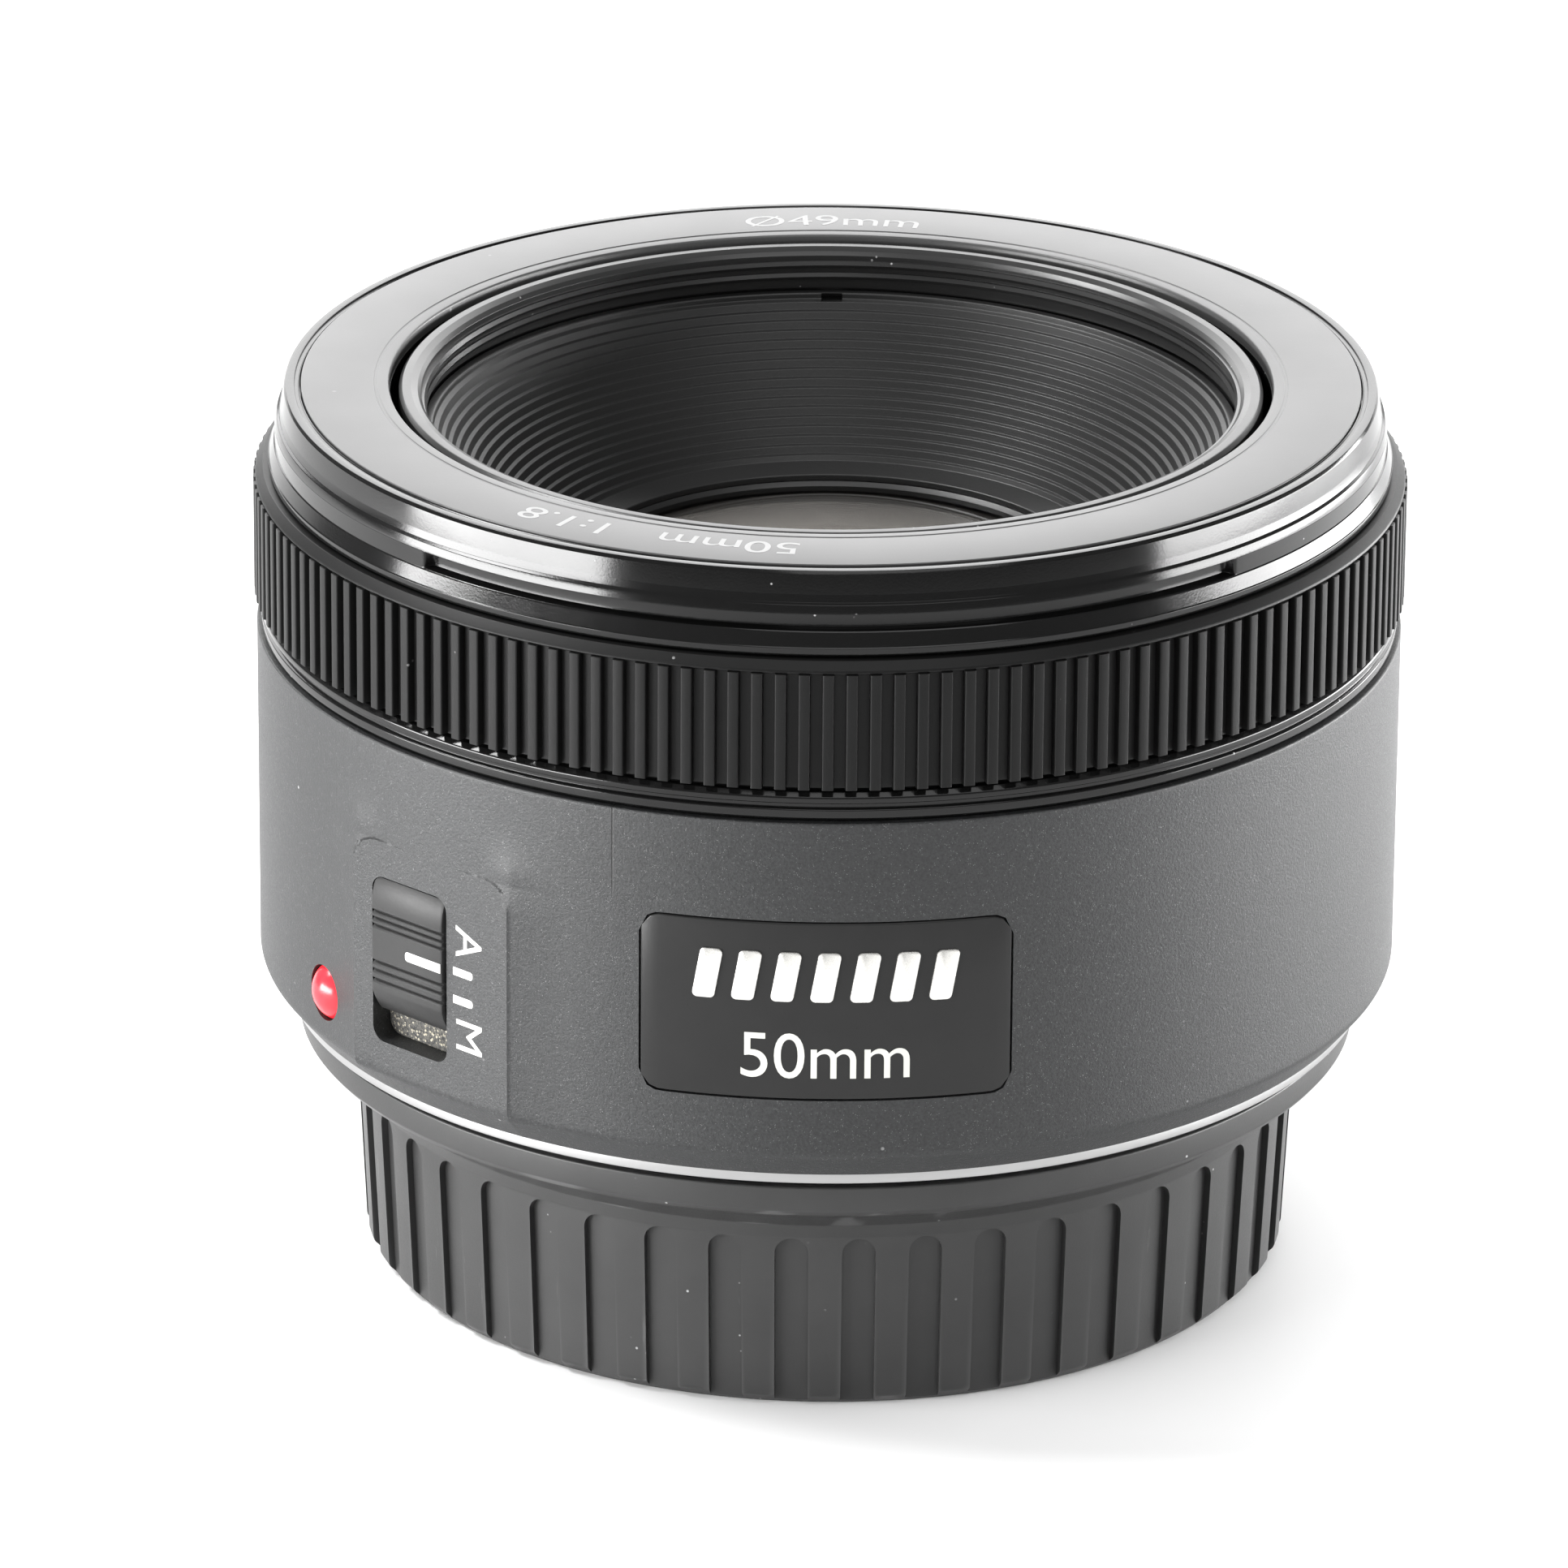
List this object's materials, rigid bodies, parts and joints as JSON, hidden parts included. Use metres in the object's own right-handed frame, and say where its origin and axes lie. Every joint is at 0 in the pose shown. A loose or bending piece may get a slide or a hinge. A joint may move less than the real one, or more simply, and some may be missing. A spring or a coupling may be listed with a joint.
{
  "type": "prime camera lens",
  "caption": "Compact 50 mm autofocus prime lens with ribbed focus ring, side mode switch, 49 mm filter thread and bayonet mount, standing on its fluted rear cap.",
  "frame": {"origin": "centre of the rear cap's flat base, on the surface that the lens stands on", "axes": "+Z along the optical axis towards the front glass; -Y towards the badge plate; +X to the badge's right"},
  "size_m": [0.0692, 0.0692, 0.0547],
  "materials": {
    "barrel_plastic": "fine sparkled satin black paint on plastic",
    "badge_plastic": "smooth semi-gloss black",
    "red_dot": "glossy red",
    "gloss_black": "polished black",
    "name_ring_satin": "satin black with pale printed numerals",
    "grip_plastic": "moulded ribs, slight sheen",
    "inner_black": "matte moulded black",
    "mount_metal": "satin chromed metal",
    "screw_steel": "plain steel",
    "contact_plastic": "matte black",
    "contact_gold": "gold plated",
    "flex_film": "amber polyimide film",
    "circuit_board": "green solder mask",
    "chip_black": "moulded chip black",
    "motor_can": "drawn steel can",
    "guide_aluminium": "black anodised",
    "inner_barrel_gloss": "semi-gloss black",
    "baffle_matte": "matte black, stepped against stray light",
    "gear_nylon": "natural nylon",
    "gear_brass": "cut brass",
    "switch_plastic": "semi-gloss black, ribbed",
    "felt": "speckled black felt",
    "cap_plastic": "moulded black, worn satin edges",
    "coated_glass": "coated optical glass",
    "blade_steel": "matte black film"
  },
  "bodies": {
    "barrel": {"rear_barrel": "barrel_plastic", "badge_plate": "badge_plastic", "index_dot": "red_dot", "trim_ring": "gloss_black", "fixed_sleeve": "inner_black", "guide_screws": "screw_steel", "front_ring": "gloss_black", "name_ring": "name_ring_satin", "mount_ring": "mount_metal", "mount_screws": "screw_steel", "contact_block": "contact_plastic", "contact_pins": "contact_gold", "contact_flex": "flex_film", "rear_baffle": "inner_black", "main_board": "circuit_board", "board_chips": "chip_black", "gear_plate": "inner_black", "plate_screws": "screw_steel", "focus_motor": "motor_can", "gear_shaft": "screw_steel", "guide_barrel": "guide_aluminium", "ring_sensor": "chip_black", "switch_felt": "felt", "switch_board": "circuit_board"},
    "focus_grip": {"focus_ring": "grip_plastic", "encoder_comb": "inner_black"},
    "optical_block": {"inner_barrel": "inner_barrel_gloss", "follower_pins": "screw_steel", "cell_screws": "screw_steel", "front_baffle": "baffle_matte", "front_retainer": "baffle_matte", "front_cell": "inner_black", "front_element": "coated_glass", "second_element": "coated_glass", "third_element": "coated_glass", "element_spacer": "inner_black", "rear_cell": "inner_black", "fourth_element": "coated_glass", "fifth_element": "coated_glass", "rear_element": "coated_glass", "rear_retainer": "inner_black", "diaphragm_base": "inner_black", "diaphragm_cover": "inner_black", "aperture_motor": "motor_can"},
    "cam": {"cam_ring": "inner_black"},
    "reduction": {"reduction_gear": "gear_nylon"},
    "focus_pinion": {"motor_pinion": "gear_brass"},
    "iris": {"iris_ring": "inner_black"},
    "aperture_drive": {"iris_pinion": "gear_brass"},
    "switch": {"mode_switch": "switch_plastic"},
    "cap": {"rear_cap": "cap_plastic"},
    "blade_1": {"aperture_blade_1": "blade_steel"},
    "blade_2": {"aperture_blade_2": "blade_steel"},
    "blade_3": {"aperture_blade_3": "blade_steel"},
    "blade_4": {"aperture_blade_4": "blade_steel"},
    "blade_5": {"aperture_blade_5": "blade_steel"},
    "blade_6": {"aperture_blade_6": "blade_steel"},
    "blade_7": {"aperture_blade_7": "blade_steel"}
  },
  "joints": [
    {"name": "focus_travel", "type": "slide", "parent": "barrel", "child": "optical_block", "axis": [0, 0, 1], "range_m": [0, 0.0105]},
    {"name": "cam_turn", "type": "hinge", "parent": "barrel", "child": "cam", "pos_m": [0, 0, 0.03], "axis": [0, 0, 1], "range_deg": [0, 80.5]},
    {"name": "reduction_spin", "type": "hinge", "parent": "barrel", "child": "reduction", "pos_m": [0.012, 0.02078, 0.023], "axis": [0, 0, 1], "range_deg": [0, 885]},
    {"name": "pinion_spin", "type": "hinge", "parent": "barrel", "child": "focus_pinion", "pos_m": [0.00511, 0.02037, 0.023], "axis": [0, 0, 1], "range_deg": [-3175, 0]},
    {"name": "focus_ring_turn", "type": "hinge", "parent": "barrel", "child": "focus_grip", "pos_m": [0, 0, 0.0458], "axis": [0, 0, 1], "continuous": true},
    {"name": "iris_turn", "type": "hinge", "parent": "optical_block", "child": "iris", "pos_m": [0, 0, 0.029], "axis": [0, 0, 1], "range_deg": [-4.25, 0]},
    {"name": "aperture_pinion_spin", "type": "hinge", "parent": "optical_block", "child": "aperture_drive", "pos_m": [-0.0213, 0, 0.029], "axis": [0, 0, 1], "range_deg": [0, 56.2]},
    {"name": "switch_slide", "type": "slide", "parent": "barrel", "child": "switch", "axis": [0, 0, 1], "range_m": [-0.0017, 0]},
    {"name": "cap_lift_off", "type": "slide", "parent": "barrel", "child": "cap", "axis": [0, 0, -1], "range_m": [0, 0.025]},
    {"name": "blade_1_swing", "type": "hinge", "parent": "optical_block", "child": "blade_1", "pos_m": [0.01494, 0.00544, 0.028], "axis": [0, 0, 1], "range_deg": [-34.1, 0]},
    {"name": "blade_2_swing", "type": "hinge", "parent": "optical_block", "child": "blade_2", "pos_m": [0.00506, 0.01507, 0.028], "axis": [0, 0, 1], "range_deg": [-34.1, 0]},
    {"name": "blade_3_swing", "type": "hinge", "parent": "optical_block", "child": "blade_3", "pos_m": [-0.00863, 0.01336, 0.028], "axis": [0, 0, 1], "range_deg": [-34.1, 0]},
    {"name": "blade_4_swing", "type": "hinge", "parent": "optical_block", "child": "blade_4", "pos_m": [-0.01582, 0.00158, 0.028], "axis": [0, 0, 1], "range_deg": [-34.1, 0]},
    {"name": "blade_5_swing", "type": "hinge", "parent": "optical_block", "child": "blade_5", "pos_m": [-0.0111, -0.01138, 0.028], "axis": [0, 0, 1], "range_deg": [-34.1, 0]},
    {"name": "blade_6_swing", "type": "hinge", "parent": "optical_block", "child": "blade_6", "pos_m": [0.00198, -0.01578, 0.028], "axis": [0, 0, 1], "range_deg": [-34.1, 0]},
    {"name": "blade_7_swing", "type": "hinge", "parent": "optical_block", "child": "blade_7", "pos_m": [0.01357, -0.00829, 0.028], "axis": [0, 0, 1], "range_deg": [-34.1, 0]}
  ],
  "couplings": [
    {"joint": "cam_turn", "follows": "focus_travel", "rad_per_m": 132.98},
    {"joint": "reduction_spin", "follows": "focus_travel", "rad_per_m": 1462.8},
    {"joint": "pinion_spin", "follows": "focus_travel", "rad_per_m": -5265.9},
    {"joint": "aperture_pinion_spin", "follows": "iris_turn", "ratio": -13.2},
    {"joint": "blade_1_swing", "follows": "iris_turn", "ratio": 8},
    {"joint": "blade_2_swing", "follows": "iris_turn", "ratio": 8},
    {"joint": "blade_3_swing", "follows": "iris_turn", "ratio": 8},
    {"joint": "blade_4_swing", "follows": "iris_turn", "ratio": 8},
    {"joint": "blade_5_swing", "follows": "iris_turn", "ratio": 8},
    {"joint": "blade_6_swing", "follows": "iris_turn", "ratio": 8},
    {"joint": "blade_7_swing", "follows": "iris_turn", "ratio": 8}
  ]
}
